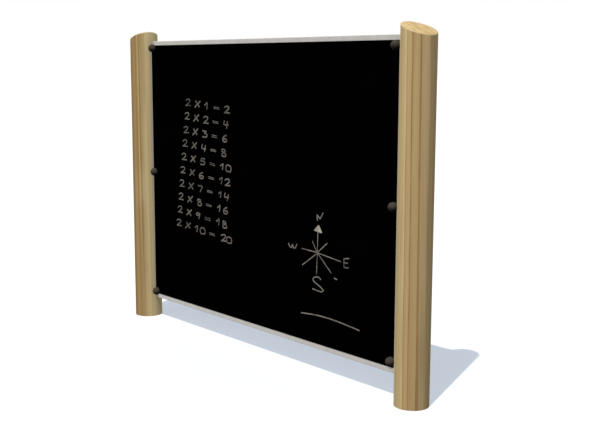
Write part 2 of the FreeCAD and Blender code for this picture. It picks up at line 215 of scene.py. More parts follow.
class Wire:
    """A socket in a node tree. Its operators add Math nodes, and node() adds a node of any other kind."""

    def __init__(self, tree, socket=None):
        self.tree = tree
        self.socket = socket

    def plug(self, target, value):
        if isinstance(value, Wire):
            self.tree.links.new(value.socket, target)
        else:
            target.default_value = value

    def node(self, kind, settings=None, sockets=None, output=0):
        made = self.tree.nodes.new(kind)
        for name, value in (settings or {}).items():
            setattr(made, name, value)
        for name, value in (sockets or {}).items():
            self.plug(made.inputs[name], value)
        return Wire(self.tree, made.outputs[output] if made.outputs else None)

    def math(self, operation, *values):
        return self.node("ShaderNodeMath", {"operation": operation}, dict(enumerate(values)))

    def vector(self, operation, *values, output=0):
        return self.node("ShaderNodeVectorMath", {"operation": operation}, dict(enumerate(values)), output)

    def __add__(self, other):
        return self.math("ADD", self, other)

    def __sub__(self, other):
        return self.math("SUBTRACT", self, other)

    def __rsub__(self, other):
        return self.math("SUBTRACT", other, self)

    def __mul__(self, other):
        return self.math("MULTIPLY", self, other)

    def __truediv__(self, other):
        return self.math("DIVIDE", self, other)

    def __pow__(self, other):
        return self.math("POWER", self, other)

    __radd__ = __add__
    __rmul__ = __mul__

    def between(self, low, high):
        """0 below one value, 1 above the other and a smooth step between them."""
        sockets = {"Value": self, "From Min": low, "From Max": high}
        return self.node("ShaderNodeMapRange", {"interpolation_type": "SMOOTHSTEP"}, sockets)

    def spread(self, low, high):
        """A value from 0 to 1, carried over to another range."""
        return self * (high - low) + low

    def blend(self, first, second):
        """The first colour where this value is 0 and the second where it is 1."""
        sockets = {MIX_FACTOR: self, MIX_FIRST: first, MIX_SECOND: second}
        return self.node("ShaderNodeMix", {"data_type": "RGBA"}, sockets, MIX_RESULT)

    def noise(self, place, grain):
        if grain.squeeze:
            place = self.vector("MULTIPLY", place, grain.squeeze)
        sockets = {"Vector": place, "Scale": grain.scale,
                   "Detail": grain.detail, "Roughness": grain.roughness}
        return self.node("ShaderNodeTexNoise", {}, sockets)


class Finish(Wire):
    """A material with one Principled shader, whose sockets are set by name."""

    def __init__(self, name):
        self.material = bpy.data.materials.new(name)
        self.material.use_nodes = True
        super().__init__(self.material.node_tree)
        self.shader = self.tree.nodes["Principled BSDF"]

    def place(self, offset=(0, 0, 0)):
        """Object coordinates, moved so that the offset becomes their origin."""
        coordinates = self.node("ShaderNodeTexCoord", output="Object")
        moved = tuple(-value for value in offset)
        return self.node("ShaderNodeMapping", {}, {"Vector": coordinates, "Location": moved})

    def upward(self):
        """How far the surface faces up: 1 on top, 0 on its sides and -1 underneath."""
        return parted(self, self.node("ShaderNodeNewGeometry", output="Normal"))[2]

    def set(self, **sockets):
        """Sockets by their names, with an underscore for each space."""
        for name, value in sockets.items():
            self.plug(self.shader.inputs[name.replace("_", " ")], value)

    def bump(self, height, relief):
        sockets = {"Height": height, "Distance": relief.depth, "Strength": relief.strength}
        self.set(Normal=self.node("ShaderNodeBump", {}, sockets))


def parted(wire, place):
    """The three coordinates of a place."""
    first = wire.node("ShaderNodeSeparateXYZ", {}, {0: place})
    return [Wire(wire.tree, socket) for socket in first.socket.node.outputs]


# The middle of a noise's values, and the range that most of them lie in
NOISE_MIDDLE = 0.5
NOISE_RANGE = (0.3, 0.7)


# Timber: its colours

WOOD_DARK = srgb(138, 109, 63)
WOOD_MID = srgb(174, 147, 102)
WOOD_PALE = srgb(204, 184, 139)
WOOD_YELLOW = srgb(196, 178, 128)
WOOD_PINK = srgb(188, 155, 112)
WOOD_BEIGE = srgb(194, 169, 129)
WOOD_OLIVE = srgb(142, 128, 92)
WOOD_RED = srgb(160, 116, 74)
WOOD_BROWN = srgb(124, 93, 54)
END_GRAIN_PALE = srgb(205, 178, 127)
END_GRAIN_DARK = srgb(176, 145, 94)
END_GRAIN_LINE = srgb(156, 120, 73)
# Painted highlight along the rounded rim of a post's top
RIM_PAINTED_HIGHLIGHT = srgb(208, 189, 146)

# Timber: the streaks of each post
STREAK_EDGE = Grain(1.0, squeeze=(240.0, 240.0, 7.0))
STREAK_WANDER = math.radians(5)
STREAK_SOFTNESS = 0.5
STREAK_BREAKS = Grain(1.0)
STREAK_BREAK_RANGE = (0.2, 0.5)
STREAK_BREAK_ROW = 7.3
STREAK_BREAKS_PER_METRE = 2.4
STREAK_TAPER = 0.15
STREAK_LOWEST = POST_LOW.z - STREAK_TAPER
STREAK_HIGHEST = POST_HIGH.z + STREAK_TAPER


class Streak(NamedTuple):
    """A band along a post: its angle round the axis and half width in degrees, its colour and strength, and
    the heights that it shows between."""

    turn: float
    width: float
    shade: tuple
    strength: float
    low: float = STREAK_LOWEST
    high: float = STREAK_HIGHEST


class Log(NamedTuple):
    """What sets a post's wood apart: where its grain begins, the side that is given painted light and
    shade, the direction across it in which that painted light makes it paler and the painted shade darker,
    and its streaks."""

    start: float
    weathered: Vector
    paler: Vector
    streaks: tuple


# For each post: where its grain begins, the side with painted light and shade, the direction of that
# painted light, and its streaks
LEFT_LOG = Log(3.0, Vector((0.85, -0.53)), Vector((1.4, 0.65)), (
    Streak(-60, 21.0, WOOD_DARK, 0.55),
    Streak(-38, 6.0, WOOD_PALE, 0.25, high=0.35),
    Streak(-25, 3.0, WOOD_PALE, 0.7, high=0.95),
    Streak(-30, 5.0, WOOD_DARK, 0.35, low=0.95),
    Streak(-17, 3.0, WOOD_PALE, 0.6, low=0.95),
    Streak(-16, 1.2, WOOD_BROWN, 0.3, high=0.95),
    Streak(-49, 2.0, WOOD_BROWN, 0.55, low=0.3),
    Streak(-56, 1.5, WOOD_PALE, 0.55, low=0.45),
    Streak(-65, 1.5, WOOD_BROWN, 0.55),
))
RIGHT_LOG = Log(17.0, Vector((0.68, -0.73)), Vector((-0.3, -0.4)), (
    Streak(-90, 6.0, WOOD_YELLOW, 0.6),
    Streak(-81, 3.0, WOOD_PALE, 0.7),
    Streak(-77, 1.3, WOOD_RED, 0.7),
    Streak(-68, 5.0, WOOD_PINK, 0.5),
    Streak(-59, 1.5, WOOD_BROWN, 0.7),
    Streak(-52, 3.0, WOOD_DARK, 0.3),
    Streak(-33, 1.6, WOOD_BROWN, 0.7),
    Streak(-15, 8.0, WOOD_BEIGE, 0.55),
    Streak(-14, 7.0, WOOD_OLIVE, 0.5, high=0.35),
    Streak(-5, 3.0, WOOD_BEIGE, 0.4, low=0.75),
    Streak(-28, 2.0, WOOD_BROWN, 0.5, high=0.25),
    Streak(2, 1.5, WOOD_BROWN, 0.45),
    # Painted shade: this olive streak darkens the side of the right-hand post that is turned from the light
    Streak(12, 9.0, WOOD_OLIVE, 0.6),
))

# Timber: the grain along a post, the painted light and shade across it, and the share of each in its tone
# and height
GRAIN_TWIST = 0.1
WOOD_BANDS = Grain(1.0, squeeze=(46.0, 46.0, 0.3))
WOOD_LINES = Grain(1.0, squeeze=(170.0, 170.0, 0.9))
WOOD_FIBRES = Grain(1.0, detail=3.0, squeeze=(900.0, 900.0, 9.0))
WOOD_VEINS = Grain(1.0, detail=1.0, squeeze=(150.0, 150.0, 0.25))
BAND_TONE = 0.34
LINE_TONE = 0.2
FIBRE_TONE = 0.16
# Share of the painted light and shade in a post's tone
PAINTED_LIGHT_TONE = 0.4
LEAST_TONE = 0.15
DARK_TO_MID = (0.1, 0.5)
MID_TO_PALE = (0.45, 0.95)
VEIN_RANGE = (0.66, 0.74)
VEIN_STRENGTH = 0.4
# Distances across a post, in radii, over which the painted light and shade fades out towards its far side
PAINTED_LIGHT_SIDE_RANGE = (-0.75, 0.2)
FIBRE_HEIGHT = 0.5
LINE_HEIGHT = 0.3
RING_HEIGHT = 0.3
WOOD_RELIEF = Relief(0.0006, 0.5)
WOOD_ROUGHNESS = (0.78, 0.62)
WOOD_SPECULAR = 0.2

# Timber: the end grain, and how far up a surface faces where the rim's painted highlight and the end grain
# begin and end
AXIS_FROM_PITH = (0.011, -0.016, 0.0)
FLATTENED = (1.0, 1.0, 0.0)
RING_SPACING = 0.0068
RING_SHARPNESS = 2.2
RING_WAVES = Grain(22.0)
RING_WAVE_HEIGHT = 1.8
RING_TONE = 0.4
BLOTCHES = Grain(1.0, squeeze=(22.0, 50.0, 1.0))
BLOTCH_TONE = 0.6
BLOTCH_CORE = (0.6, 0.75)
BLOTCH_CORE_STRENGTH = 0.5
END_PALE_TO_DARK = (0.15, 0.75)
END_FACING = (0.5, 0.8)
RIM_BEGINS = (0.15, 0.4)
RIM_ENDS = (0.65, 0.88)
RIM_STRENGTH = 0.7


def streaked(wood, colour, place, streaks):
    """Long streaks over a colour, each at its own angle round the post, fading in and out with height."""
    along, across, height = parted(wood, place)
    ragged = wood.noise(place, STREAK_EDGE) - NOISE_MIDDLE
    angle = across.math("ARCTAN2", across, along) + ragged * STREAK_WANDER
    for number, streak in enumerate(streaks):
        row = {"X": STREAK_BREAK_ROW * number, "Z": height * STREAK_BREAKS_PER_METRE}
        breaks = wood.noise(wood.node("ShaderNodeCombineXYZ", {}, row), STREAK_BREAKS)
        unbroken = breaks.between(*STREAK_BREAK_RANGE)
        begun = height.between(streak.low - STREAK_TAPER, streak.low + STREAK_TAPER)
        ended = height.between(streak.high - STREAK_TAPER, streak.high + STREAK_TAPER)
        apart = angle.math("ABSOLUTE", angle - math.radians(streak.turn))
        half_width = math.radians(streak.width)
        cover = 1 - apart.between(half_width * STREAK_SOFTNESS, half_width / STREAK_SOFTNESS)
        shown = cover * unbroken * begun * (1 - ended)
        colour = (shown * streak.strength).blend(colour, streak.shade)
    return colour


def sided(wood, place, direction):
    """How far a place on a post lies towards a direction across it, in radii."""
    return wood.vector("DOT_PRODUCT", place, (*(direction / POST_RADIUS), 0), output="Value")


def side_grain(wood, straight, grown, log):
    """Bands, lines, fibres, veins and streaks along a post, with painted light and shade across it; their
    colour, tone and height.
    """
    bands = wood.noise(grown, WOOD_BANDS).between(*NOISE_RANGE)
    lines = wood.noise(grown, WOOD_LINES).between(*NOISE_RANGE)
    fibres = wood.noise(grown, WOOD_FIBRES)
    veins = wood.noise(grown, WOOD_VEINS).between(*VEIN_RANGE)
    # Painted light and shade: paler towards one direction across the post and darker away from it, on one
    # side of the post only
    weathered = sided(wood, straight, log.weathered).between(*PAINTED_LIGHT_SIDE_RANGE)
    paler = sided(wood, straight, log.paler) * weathered
    tone = bands * BAND_TONE + lines * LINE_TONE + fibres * FIBRE_TONE + paler * PAINTED_LIGHT_TONE + LEAST_TONE
    colour = tone.between(*DARK_TO_MID).blend(WOOD_DARK, WOOD_MID)
    colour = tone.between(*MID_TO_PALE).blend(colour, WOOD_PALE)
    colour = (veins * VEIN_STRENGTH).blend(colour, WOOD_BROWN)
    colour = streaked(wood, colour, straight, log.streaks)
    return colour, tone, fibres * FIBRE_HEIGHT + lines * LINE_HEIGHT


def end_grain(wood, place, grown):
    """Growth rings round a pith that lies off the axis, with blotches; the colour, and the rings alone."""
    flat = wood.vector("MULTIPLY", place, FLATTENED)
    radius = wood.vector("LENGTH", wood.vector("ADD", flat, AXIS_FROM_PITH), output="Value")
    phase = radius / RING_SPACING + wood.noise(grown, RING_WAVES) * RING_WAVE_HEIGHT
    ring = phase.math("FRACT", phase) ** RING_SHARPNESS
    blotch = wood.noise(flat, BLOTCHES)
    tone = ring * RING_TONE + blotch.between(*NOISE_RANGE) * BLOTCH_TONE
    colour = tone.between(*END_PALE_TO_DARK).blend(END_GRAIN_PALE, END_GRAIN_DARK)
    colour = (blotch.between(*BLOTCH_CORE) * BLOTCH_CORE_STRENGTH).blend(colour, END_GRAIN_LINE)
    return colour, ring


def timber(name, axis_x, log):
    """Turned softwood: straight grain with a slight twist and painted light and shade across it, ringed end
    grain, and a painted highlight on the rim between them.
    """
    wood = Finish(name)
    place = wood.place((axis_x, 0, 0))
    turning = {"Vector": place, "Angle": parted(wood, place)[2] * GRAIN_TWIST}
    straight = wood.node("ShaderNodeVectorRotate", {"rotation_type": "Z_AXIS"}, turning)
    grown = wood.vector("ADD", straight, (0, 0, log.start))
    side_colour, tone, height = side_grain(wood, straight, grown, log)
    end_colour, ring = end_grain(wood, place, grown)
    upward = wood.upward()
    end = upward.between(*END_FACING)
    rim = upward.between(*RIM_BEGINS) * (1 - upward.between(*RIM_ENDS))
    # Painted highlight: the rounded rim between the side and the end grain is painted paler
    colour = (rim * RIM_STRENGTH).blend(end.blend(side_colour, end_colour), RIM_PAINTED_HIGHLIGHT)
    wood.set(Base_Color=colour, Roughness=tone.spread(*WOOD_ROUGHNESS), Specular_IOR_Level=WOOD_SPECULAR)
    wood.bump(height + end * ring * RING_HEIGHT, WOOD_RELIEF)
    return wood.material


# Laminate: painted shade at its left-hand end, next to the post, which gives way to its own shades between
# two distances from there

LAMINATE_MOTTLE = Grain(38.0, detail=4.0, roughness=0.6)
LAMINATE_GRAIN = Grain(1600.0)
LAMINATE_MOTTLE_TONE = 0.6
LAMINATE_GRAIN_TONE = 0.4
LAMINATE_SHADES = (srgb(188, 184, 180), srgb(202, 198, 194))
LAMINATE_PAINTED_SHADE = srgb(146, 142, 136)
LAMINATE_PAINTED_SHADE_REACH = (0.012, 0.042)
LAMINATE_ROUGHNESS = (0.42, 0.56)
LAMINATE_SPECULAR = 0.35
LAMINATE_RELIEF = Relief(0.0002, 0.2)


def laminate():
    """Pale grey board: a matt laminate with a fine mottle, and painted shade at its left-hand end, next to
    the post.
    """
    board = Finish("pale_laminate")
    place = board.place()
    mottle = board.noise(place, LAMINATE_MOTTLE)
    grain = board.noise(place, LAMINATE_GRAIN)
    tone = mottle * LAMINATE_MOTTLE_TONE + grain * LAMINATE_GRAIN_TONE
    # Painted shade: the left-hand end, close by the post, is painted greyer
    unshaded = parted(board, place)[0].between(*(distance - BOARD_END for distance in LAMINATE_PAINTED_SHADE_REACH))
    colour = unshaded.blend(LAMINATE_PAINTED_SHADE, tone.between(*NOISE_RANGE).blend(*LAMINATE_SHADES))
    roughness = grain.spread(*LAMINATE_ROUGHNESS)
    board.set(Base_Color=colour, Roughness=roughness, Specular_IOR_Level=LAMINATE_SPECULAR)
    board.bump(grain, LAMINATE_RELIEF)
    return board.material


# Chalkboard

SHEET_SWIRL = Grain(1.0, detail=5.0, roughness=0.62, squeeze=(2.2, 1.0, 5.0))
SHEET_SWIRL_RANGE = (0.5, 0.85)
SHEET_TOOTH = Grain(1400.0)
SHEET_TOOTH_RANGE = (0.35, 0.7)
SHEET_BLACK = (0.0004, 0.0004, 0.0004, 1.0)
SHEET_DUSTY = (0.0016, 0.0016, 0.0015, 1.0)
SHEET_ROUGHNESS = (0.86, 0.96)
SHEET_RELIEF = Relief(0.0001, 0.3)


def chalkboard():
    """Dead matt black sheet with a trace of wiped chalk dust."""
    sheet = Finish("chalkboard_black")
    place = sheet.place()
    swirl = sheet.noise(place, SHEET_SWIRL)
    tooth = sheet.noise(place, SHEET_TOOTH)
    dust = swirl.between(*SHEET_SWIRL_RANGE) * tooth.between(*SHEET_TOOTH_RANGE)
    colour = dust.blend(SHEET_BLACK, SHEET_DUSTY)
    sheet.set(Base_Color=colour, Roughness=dust.spread(*SHEET_ROUGHNESS), Specular_IOR_Level=0.0)
    sheet.bump(tooth, SHEET_RELIEF)
    return sheet.material


# Chalk: its shade where the sheet shows through, and where it was pressed lightly, plainly and heavily

CHALK_BARE = srgb(40, 37, 34)
CHALK_FAINT = srgb(122, 115, 108)
CHALK_PLAIN = srgb(140, 133, 125)
CHALK_HEAVY = srgb(186, 176, 163)
CHALK_CRUMBS = Grain(620.0, detail=3.0, roughness=0.7)
CHALK_PRESSURE = Grain(26.0)
CHALK_PRESSURE_SHARE = 0.5
CHALK_COVER_RANGE = (0.56, 0.82)
CHALK_ROUGHNESS = 0.95
CHALK_SPECULAR = 0.1
CHALK_RELIEF = Relief(0.0003, 0.5)


def chalk(name, shade):
    """Chalk on the sheet's tooth, broken up into crumbs: the harder it was pressed, the paler its shade."""
    stroke = Finish(name)
    place = stroke.place()
    crumbs = stroke.noise(place, CHALK_CRUMBS)
    pressure = stroke.noise(place, CHALK_PRESSURE)
    cover = (crumbs + pressure * CHALK_PRESSURE_SHARE).between(*CHALK_COVER_RANGE)
    colour = cover.blend(CHALK_BARE, shade)
    stroke.set(Base_Color=colour, Roughness=CHALK_ROUGHNESS, Specular_IOR_Level=CHALK_SPECULAR)
    stroke.bump(crumbs, CHALK_RELIEF)
    return stroke.material


# Moulded plastic: its shades, its painted shade underneath, and how far up a surface faces where that
# painted shade is full and where it has gone

PLASTIC_GRAIN = Grain(2400.0)
PLASTIC_CLOUD = Grain(90.0, detail=3.0)
PLASTIC_SHADES = (srgb(61, 57, 51), srgb(69, 64, 58))
PLASTIC_PAINTED_SHADE = srgb(14, 12, 11)
PLASTIC_PAINTED_SHADE_FACING = (-0.75, 0.35)
PLASTIC_ROUGHNESS = (0.55, 0.7)
PLASTIC_SPECULAR = 0.03
PLASTIC_RELIEF = Relief(0.0001, 0.35)


def moulded_plastic():
    """Dark bolt covers: satin moulded plastic with a fine spark-eroded grain, and painted shade darkening
    their lower side.
    """
    plastic = Finish("dark_moulded_plastic")
    place = plastic.place()
    grain = plastic.noise(place, PLASTIC_GRAIN)
    cloud = plastic.noise(place, PLASTIC_CLOUD)
    mottled = cloud.between(*NOISE_RANGE).blend(*PLASTIC_SHADES)
    # Painted shade: the lower side of each cover is painted darker, fading out towards its top
    colour = plastic.upward().between(*PLASTIC_PAINTED_SHADE_FACING).blend(PLASTIC_PAINTED_SHADE, mottled)
    roughness = grain.spread(*PLASTIC_ROUGHNESS)
    plastic.set(Base_Color=colour, Roughness=roughness, Specular_IOR_Level=PLASTIC_SPECULAR)
    plastic.bump(grain, PLASTIC_RELIEF)
    return plastic.material


# Zinc, dipped and plated

SPANGLE_SCALE = 150.0
SPANGLE_TONE = 0.6
DIPPED_STAIN = Grain(60.0, detail=4.0, roughness=0.6)
DIPPED_STAIN_TONE = 0.4
DIPPED_RANGE = (0.15, 0.85)
DIPPED_SHADES = (srgb(154, 158, 161), srgb(188, 191, 193))
DIPPED_METAL = 0.9
DIPPED_ROUGHNESS = (0.36, 0.58)
DIPPED_RELIEF = Relief(0.0002, 0.25)
PLATED_PATCHES = Grain(140.0, detail=3.0)
PLATED_MARKS = Grain(1500.0)
PLATED_SHADES = (srgb(176, 183, 192), srgb(206, 211, 217))
PLATED_ROUGHNESS = (0.22, 0.42)
PLATED_RELIEF = Relief(0.0001, 0.2)


def galvanised():
    """Hot-dip zinc: dull grey with crystals of differing shade."""
    zinc = Finish("galvanised_zinc")
    place = zinc.place()
    cells = zinc.node("ShaderNodeTexVoronoi", {}, {"Vector": place, "Scale": SPANGLE_SCALE}, output="Color")
    crystal = parted(zinc, cells)[0]
    stain = zinc.noise(place, DIPPED_STAIN)
    tone = crystal * SPANGLE_TONE + stain * DIPPED_STAIN_TONE
    colour = tone.between(*DIPPED_RANGE).blend(*DIPPED_SHADES)
    zinc.set(Base_Color=colour, Metallic=DIPPED_METAL, Roughness=tone.spread(*DIPPED_ROUGHNESS))
    zinc.bump(stain, DIPPED_RELIEF)
    return zinc.material


def plated():
    """Zinc-plated screws and washers: smoother and bluer than the dipped brackets, with dull patches."""
    zinc = Finish("plated_zinc")
    place = zinc.place()
    patches = zinc.noise(place, PLATED_PATCHES)
    marks = zinc.noise(place, PLATED_MARKS)
    colour = patches.between(*NOISE_RANGE).blend(*PLATED_SHADES)
    zinc.set(Base_Color=colour, Metallic=1.0, Roughness=patches.spread(*PLATED_ROUGHNESS))
    zinc.bump(marks, PLATED_RELIEF)
    return zinc.material


# Stainless steel

STEEL_MARKS = Grain(1800.0)
STEEL_CLOUD = Grain(120.0, detail=3.0)
STEEL_SHADES = (srgb(196, 195, 192), srgb(216, 215, 212))
STEEL_ROUGHNESS = (0.2, 0.34)
STEEL_RELIEF = Relief(0.00005, 0.2)


def stainless():
    """Plain stainless steel with turning marks too fine to see as lines."""
    steel = Finish("plain_stainless")
    place = steel.place()
    marks = steel.noise(place, STEEL_MARKS)
    cloud = steel.noise(place, STEEL_CLOUD)
    colour = cloud.between(*NOISE_RANGE).blend(*STEEL_SHADES)
    steel.set(Base_Color=colour, Metallic=1.0, Roughness=marks.spread(*STEEL_ROUGHNESS))
    steel.bump(marks, STEEL_RELIEF)
    return steel.material


# Modelling helpers

def deselect():
    bpy.ops.object.select_all(action="DESELECT")


def named(name):
    """The object that an operator has just made, under its own name."""
    piece = bpy.context.object
    piece.name = name
    piece.data.name = name
    return piece


def active(piece):
    """Makes a piece the only selected one."""
    deselect()
    piece.select_set(True)
    bpy.context.view_layer.objects.active = piece


def settle(piece):
    """Puts a piece's place, turn and scale into its mesh."""
    active(piece)
    bpy.ops.object.transform_apply(location=True, rotation=True, scale=True)


def edit(piece):
    """Edit mode with nothing selected."""
    active(piece)
    bpy.ops.object.mode_set(mode="EDIT")
    bpy.ops.mesh.select_all(action="DESELECT")


def leave():
    bpy.ops.object.mode_set(mode="OBJECT")


def pick(piece, mode, test):
    """Selects, in edit mode, the faces that pass a test on their middle and normal, or the edges that pass
    one on their two ends."""
    bpy.ops.mesh.select_all(action="DESELECT")
    bpy.ops.mesh.select_mode(type=mode)
    leave()
    mesh = piece.data
    if mode == "FACE":
        for face in mesh.polygons:
            face.select = test(face.center, face.normal)
    else:
        for line in mesh.edges:
            ends = [mesh.vertices[index].co for index in line.vertices]
            line.select = test(*ends)
    bpy.ops.object.mode_set(mode="EDIT")


def clean(piece):
    """Merges doubles and turns every face outwards."""
    edit(piece)
    bpy.ops.mesh.select_all(action="SELECT")
    bpy.ops.mesh.remove_doubles(threshold=MERGE_DISTANCE)
    bpy.ops.mesh.normals_make_consistent(inside=False)
    leave()


def smooth(piece, angle=SMOOTH_BELOW):
    active(piece)
    bpy.ops.object.shade_smooth_by_angle(angle=angle)


def turned(name, profile, facets):
    """A piece turned about Z from a closed profile of radii and heights, at the origin."""
    deselect()
    bpy.ops.mesh.primitive_plane_add()
    piece = named(name)
    bpy.ops.object.mode_set(mode="EDIT")
    bpy.ops.mesh.select_mode(type="VERT")
    bpy.ops.mesh.select_all(action="SELECT")
    bpy.ops.mesh.merge(type="CENTER")
    bpy.ops.transform.translate(value=(profile[0][0], 0, profile[0][1]))
    for (radius, height), (next_radius, next_height) in zip(profile, profile[1:]):
        step = (next_radius - radius, 0, next_height - height)
        bpy.ops.mesh.extrude_vertices_move(TRANSFORM_OT_translate={"value": step})
    bpy.ops.mesh.select_all(action="SELECT")
    bpy.ops.mesh.spin(steps=facets, angle=math.tau, center=(0, 0, 0), axis=(0, 0, 1))
    leave()
    clean(piece)
    return piece


def combined(piece, tool, operation):
    """Joins, cuts or crosses a piece with a tool, which is used up."""
    active(piece)
    boolean = piece.modifiers.new(operation, "BOOLEAN")
    boolean.operation = operation
    boolean.object = tool
    bpy.ops.object.modifier_apply(modifier=boolean.name)
    bpy.data.objects.remove(tool)


def copied(piece, name, offset):
    """A copy of a piece with its own mesh, moved by an offset."""
    copy = piece.copy()
    copy.data = piece.data.copy()
    copy.name = name
    copy.data.name = name
    copy.data.transform(Matrix.Translation(offset))
    bpy.context.scene.collection.objects.link(copy)
    return copy


def dress(piece, material):
    piece.data.materials.clear()
    piece.data.materials.append(material)


def mount(piece, material, slot, *nodes):
    """Gives a piece its finish and sets it in the frame, in place of the nodes that it stands for."""
    dress(piece, material)
    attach(piece, BODY)
    if nodes:
        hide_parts(*nodes)


# Posts

def mill_seats(piece, side, direction):
    """Cuts the shallow flats that the brackets lie on."""
    normal = Vector((-direction * math.cos(SEAT_ANGLE), math.sin(SEAT_ANGLE), 0))
    turn = (0, 0, math.atan2(normal.y, normal.x))
    for level in LEVELS:
        low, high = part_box(side + "_" + level + "_bracket")
        axis = Vector((direction * POST_X, 0, (low.z + high.z) / 2))
        place = axis + normal * (SEAT_RADIUS + SEAT_CUTTER_SIZE[0] / 2)
        deselect()
        bpy.ops.mesh.primitive_cube_add(size=1, location=place, rotation=turn, scale=SEAT_CUTTER_SIZE)
        combined(piece, named("seat_cutter"), "DIFFERENCE")


def blank_post(side, direction):
    """A plain round post that is longer than it will be."""
    depth = POST_HIGH.z + POST_RADIUS - POST_LOW.z
    size = {"vertices": POST_FACETS, "radius": POST_RADIUS, "depth": depth}
    deselect()
    bpy.ops.mesh.primitive_cylinder_add(**size, location=(direction * POST_X, 0, POST_LOW.z + depth / 2))
    piece = named(side + "_turned_post")
    settle(piece)
    return piece


def shape_ends(piece, direction):
    """Cuts the slanted top, rounds its rim and chamfers the foot."""
    crown = Vector((direction * POST_X, 0, POST_AXIS_HEIGHT))
    fall = Vector((math.cos(POST_SLANT_TURN), -math.sin(POST_SLANT_TURN), 0)) * direction
    slant = (fall * POST_SLOPE + Vector((0, 0, 1))).normalized()

    def on_rim(first, second):
        return max(abs((end - crown).dot(slant)) for end in (first, second)) < ON_EDGE

    def on_foot(first, second):
        return max(end.z for end in (first, second)) < POST_LOW.z + ON_EDGE

    bpy.ops.mesh.select_all(action="SELECT")
    bpy.ops.mesh.bisect(plane_co=crown, plane_no=slant, use_fill=True, clear_outer=True)
    pick(piece, "EDGE", on_rim)
    bpy.ops.mesh.bevel(offset=POST_TOP_ROUNDING, segments=POST_TOP_SEGMENTS, affect="EDGES")
    pick(piece, "EDGE", on_foot)
    bpy.ops.mesh.bevel(offset=POST_FOOT_CHAMFER, segments=POST_FOOT_SEGMENTS, affect="EDGES")


def groove(piece):
    """Sinks the mark whose upper edge is level with the ground."""
    for height in (-LEVEL_MARK_WIDTH, 0):
        bpy.ops.mesh.select_all(action="SELECT")
        bpy.ops.mesh.bisect(plane_co=(0, 0, height), plane_no=(0, 0, 1))
    pick(piece, "FACE", lambda middle, normal: -LEVEL_MARK_WIDTH < middle.z < 0)
    bpy.ops.mesh.inset(thickness=0.0, depth=-LEVEL_MARK_DEPTH, use_even_offset=False)


def post(side, direction):
    """A turned post: slanted top with a rounded rim, flats, a groove at the ground line, chamfered foot."""
    piece = blank_post(side, direction)
    edit(piece)
    shape_ends(piece, direction)
    groove(piece)
    leave()
    mill_seats(piece, side, direction)
    clean(piece)
    smooth(piece)
    return piece


def posts():
    left_wood = timber("left_post_timber", -POST_X, LEFT_LOG)
    right_wood = timber("right_post_timber", POST_X, RIGHT_LOG)
    mount(post("left", -1), left_wood, "post_wood", "left_post")
    mount(post("right", 1), right_wood, "post_wood", "right_post")


# Bolt covers

def cover_profile():
    """The hollow cap from the crown down its outside, under its skirt and up its inside."""
    skirt = COVER_HIGH.y - COVER_LOW.y - COVER_RADIUS + FLANGE_HEIGHT
    inner = COVER_RADIUS - COVER_WALL
    outside = [(COVER_RADIUS * math.sin(a), skirt + COVER_RADIUS * math.cos(a)) for a in QUARTER_TURN]
    inside = [(inner * math.sin(a), skirt + inner * math.cos(a)) for a in reversed(QUARTER_TURN)]
    foot = FLANGE_HEIGHT + COVER_SEAM
    edge = [(COVER_RADIUS, foot + COVER_SEAM), (COVER_RADIUS - COVER_SEAM, foot), (inner, foot)]
    return outside + edge + inside


def base_profile():
    """The cover's base: a flange with a rounded rim, and the ring that the cap snaps on."""
    rim = COVER_RADIUS - FLANGE_ROUNDING
    return [
        (BOLT_HOLE_RADIUS, 0),
        (COVER_RADIUS, 0),
        (COVER_RADIUS, FLANGE_HEIGHT - FLANGE_ROUNDING),
        (rim + FLANGE_ROUNDING_OUT, FLANGE_HEIGHT - FLANGE_ROUNDING_DOWN),
        (rim, FLANGE_HEIGHT),
        (SNAP_RING_OUTER, FLANGE_HEIGHT),
        (SNAP_RING_OUTER, SNAP_RING_TOP),
        (SNAP_RING_INNER, SNAP_RING_TOP),
        (SNAP_RING_INNER, FLANGE_HEIGHT),
        (BOLT_HOLE_RADIUS, FLANGE_HEIGHT),
        (BOLT_HOLE_RADIUS, 0),
    ]


def stood_out(piece, tilt, face):
    """Tips a piece that was made about Z so that it stands out from a face at a depth along Y."""
    piece.rotation_euler = (tilt, 0, 0)
    piece.location = (0, face, 0)
    settle(piece)
    smooth(piece, TURNED_SMOOTH_BELOW)


def covers():
    """Six caps and their bases. They throw no shadow, so the pale strip below them stays evenly lit."""
    plastic = moulded_plastic()
    for kind, profile in (("snap_cap", cover_profile()), ("cap_base", base_profile())):
        model = turned(kind + "_model", profile, COVER_FACETS)
        stood_out(model, math.pi / 2, SHEET_FACE)
        for place in PLACES:
            node = place + "_" + kind
            low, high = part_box(node)
            middle = (low + high) / 2
            piece = copied(model, place + "_moulded_" + kind, Vector((middle.x, 0, middle.z)))
            mount(piece, plastic, "cap_plastic", node)
            piece.visible_shadow = False
        bpy.data.objects.remove(model)


# Dome nuts

def nut_turning():
    """The round blank that leaves a hexagon with its upper corners turned off."""
    shoulder = NUT_HEX_HEIGHT - NUT_CHAMFER
    corner = [(NUT_CORNER, 0), (NUT_CORNER, shoulder), (NUT_LAND, NUT_HEX_HEIGHT)]
    return [(0, 0)] + corner + [(0, NUT_HEX_HEIGHT)]


def nut_dome():
    """The closed dome over the bolt's end, from its middle below to its crown."""
    centre = NUT_HEIGHT - NUT_DOME_RADIUS
    arc = [(NUT_DOME_RADIUS * math.cos(a), centre + NUT_DOME_RADIUS * math.sin(a)) for a in QUARTER_TURN]
    return [(0, NUT_HEX_HEIGHT / 2), (NUT_DOME_RADIUS, NUT_HEX_HEIGHT / 2)] + arc


